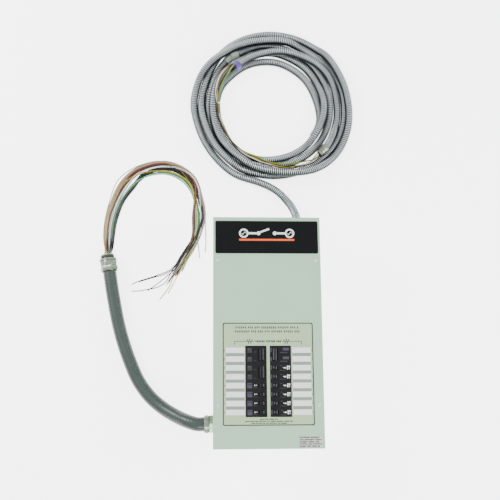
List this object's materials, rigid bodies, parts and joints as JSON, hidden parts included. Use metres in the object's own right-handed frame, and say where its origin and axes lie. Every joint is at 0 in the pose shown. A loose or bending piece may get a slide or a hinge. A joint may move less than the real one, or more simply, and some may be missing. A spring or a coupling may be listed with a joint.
{
  "type": "transfer switch with load centre",
  "caption": "Wall-mounted residential transfer switch and emergency load centre in a sage steel box, with a liquid-tight whip of loose wires and a coiled flexible metal conduit.",
  "frame": {"origin": "bottom centre of the enclosure's box: on its back face, which lies on the floor, midway across its width and height; the two whips and what is on them are left out of that box", "axes": "+Z out of the front cover, +Y towards the enclosure's top end, +X to the right as the cover is read"},
  "size_m": [0.8031, 1.3827, 0.1882],
  "materials": {
    "sage_enamel": "satin",
    "black_nameplate": "satin",
    "directory_film": "satin",
    "zinc_steel": "satin",
    "tinned_bus": "satin",
    "grey_insulator": "matte",
    "copper_winding": "satin",
    "phenolic": "matte",
    "red_lever": "satin",
    "zinc_die_cast": "satin",
    "conduit_pvc": "satin",
    "wire_insulation": "satin",
    "galvanised_conduit": "satin",
    "coil_envelope": "satin",
    "breaker_black": "satin",
    "handle_black": "satin"
  },
  "bodies": {
    "enclosure": {"breaker_01": "breaker_black", "breaker_02": "breaker_black", "breaker_03": "breaker_black", "breaker_04": "breaker_black", "breaker_05": "breaker_black", "breaker_06": "breaker_black", "breaker_07": "breaker_black", "breaker_08": "breaker_black", "breaker_09": "breaker_black", "breaker_10": "breaker_black", "breaker_11": "breaker_black", "breaker_12": "breaker_black", "breaker_13": "breaker_black", "bus_base": "grey_insulator", "conduit_connector": "zinc_die_cast", "conduit_end_fitting": "zinc_die_cast", "contact_housing": "phenolic", "enclosure_box": "sage_enamel", "fmc_coil": "coil_envelope", "fmc_connector": "zinc_die_cast", "fmc_end_fitting": "zinc_die_cast", "fmc_lead": "galvanised_conduit", "fuse_block": "phenolic", "ground_bar": "tinned_bus", "interior_rail_left": "zinc_steel", "interior_rail_right": "zinc_steel", "line_bus_1": "tinned_bus", "line_bus_2": "tinned_bus", "liquidtight_conduit": "conduit_pvc", "neutral_bar": "tinned_bus", "neutral_insulator": "grey_insulator", "standby_coil": "copper_winding", "transfer_base": "zinc_steel", "transfer_relay": "grey_insulator", "utility_coil": "copper_winding", "wire_bundle": "wire_insulation"},
    "cover": {"front_cover": "sage_enamel", "header_plate": "black_nameplate", "directory_plate": "directory_film", "cover_screw_1": "zinc_steel", "cover_screw_2": "zinc_steel", "cover_screw_3": "zinc_steel", "cover_screw_4": "zinc_steel"},
    "handle_01": {"breaker_handle_01": "handle_black"},
    "handle_02": {"breaker_handle_02": "handle_black"},
    "handle_03": {"breaker_handle_03": "handle_black"},
    "handle_04": {"breaker_handle_04": "handle_black"},
    "handle_05": {"breaker_handle_05": "handle_black"},
    "handle_06": {"breaker_handle_06": "handle_black"},
    "handle_07": {"breaker_handle_07": "handle_black"},
    "handle_08": {"breaker_handle_08": "handle_black"},
    "handle_09": {"breaker_handle_09": "handle_black"},
    "handle_10": {"breaker_handle_10": "handle_black"},
    "handle_11": {"breaker_handle_11": "handle_black"},
    "handle_12": {"breaker_handle_12": "handle_black"},
    "handle_13": {"breaker_handle_13": "handle_black"},
    "carrier": {"contact_carrier": "phenolic", "manual_lever": "red_lever"},
    "utility_rod": {"utility_plunger": "zinc_steel"},
    "standby_rod": {"standby_plunger": "zinc_steel"}
  },
  "joints": [
    {"name": "cover_lift", "type": "slide", "parent": "enclosure", "child": "cover", "axis": [0, 0, 1], "range_m": [0, 0.25]},
    {"name": "breaker_toggle_01", "type": "hinge", "parent": "enclosure", "child": "handle_01", "pos_m": [-0.0201, -0.07205, 0.1735], "axis": [0, -1, 0], "range_deg": [0, 40]},
    {"name": "breaker_toggle_02", "type": "hinge", "parent": "enclosure", "child": "handle_02", "pos_m": [-0.0201, -0.12285, 0.1735], "axis": [0, -1, 0], "range_deg": [0, 40]},
    {"name": "breaker_toggle_03", "type": "hinge", "parent": "enclosure", "child": "handle_03", "pos_m": [-0.0201, -0.16095, 0.1735], "axis": [0, -1, 0], "range_deg": [0, 40]},
    {"name": "breaker_toggle_04", "type": "hinge", "parent": "enclosure", "child": "handle_04", "pos_m": [-0.0201, -0.18635, 0.1735], "axis": [0, -1, 0], "range_deg": [0, 40]},
    {"name": "breaker_toggle_05", "type": "hinge", "parent": "enclosure", "child": "handle_05", "pos_m": [-0.0201, -0.21175, 0.1735], "axis": [0, -1, 0], "range_deg": [0, 40]},
    {"name": "breaker_toggle_06", "type": "hinge", "parent": "enclosure", "child": "handle_06", "pos_m": [-0.0201, -0.23715, 0.1735], "axis": [0, -1, 0], "range_deg": [0, 40]},
    {"name": "breaker_toggle_07", "type": "hinge", "parent": "enclosure", "child": "handle_07", "pos_m": [0.0201, -0.07205, 0.1735], "axis": [0, 1, 0], "range_deg": [0, 40]},
    {"name": "breaker_toggle_08", "type": "hinge", "parent": "enclosure", "child": "handle_08", "pos_m": [0.0201, -0.11015, 0.1735], "axis": [0, 1, 0], "range_deg": [0, 40]},
    {"name": "breaker_toggle_09", "type": "hinge", "parent": "enclosure", "child": "handle_09", "pos_m": [0.0201, -0.13555, 0.1735], "axis": [0, 1, 0], "range_deg": [0, 40]},
    {"name": "breaker_toggle_10", "type": "hinge", "parent": "enclosure", "child": "handle_10", "pos_m": [0.0201, -0.16095, 0.1735], "axis": [0, 1, 0], "range_deg": [0, 40]},
    {"name": "breaker_toggle_11", "type": "hinge", "parent": "enclosure", "child": "handle_11", "pos_m": [0.0201, -0.18635, 0.1735], "axis": [0, 1, 0], "range_deg": [0, 40]},
    {"name": "breaker_toggle_12", "type": "hinge", "parent": "enclosure", "child": "handle_12", "pos_m": [0.0201, -0.21175, 0.1735], "axis": [0, 1, 0], "range_deg": [0, 40]},
    {"name": "breaker_toggle_13", "type": "hinge", "parent": "enclosure", "child": "handle_13", "pos_m": [0.0201, -0.23715, 0.1735], "axis": [0, 1, 0], "range_deg": [0, 40]},
    {"name": "transfer_rock", "type": "hinge", "parent": "enclosure", "child": "carrier", "pos_m": [0, 0.18, 0.092], "axis": [1, 0, 0], "range_deg": [0, 28]},
    {"name": "utility_plunger_slide", "type": "slide", "parent": "enclosure", "child": "utility_rod", "axis": [0, -1, 0], "range_m": [0, 0.0165]},
    {"name": "standby_plunger_slide", "type": "slide", "parent": "enclosure", "child": "standby_rod", "axis": [0, -1, 0], "range_m": [0, 0.0165]}
  ],
  "couplings": [
    {"joint": "utility_plunger_slide", "follows": "transfer_rock", "m_per_rad": 0.0335},
    {"joint": "standby_plunger_slide", "follows": "transfer_rock", "m_per_rad": 0.0335}
  ]
}
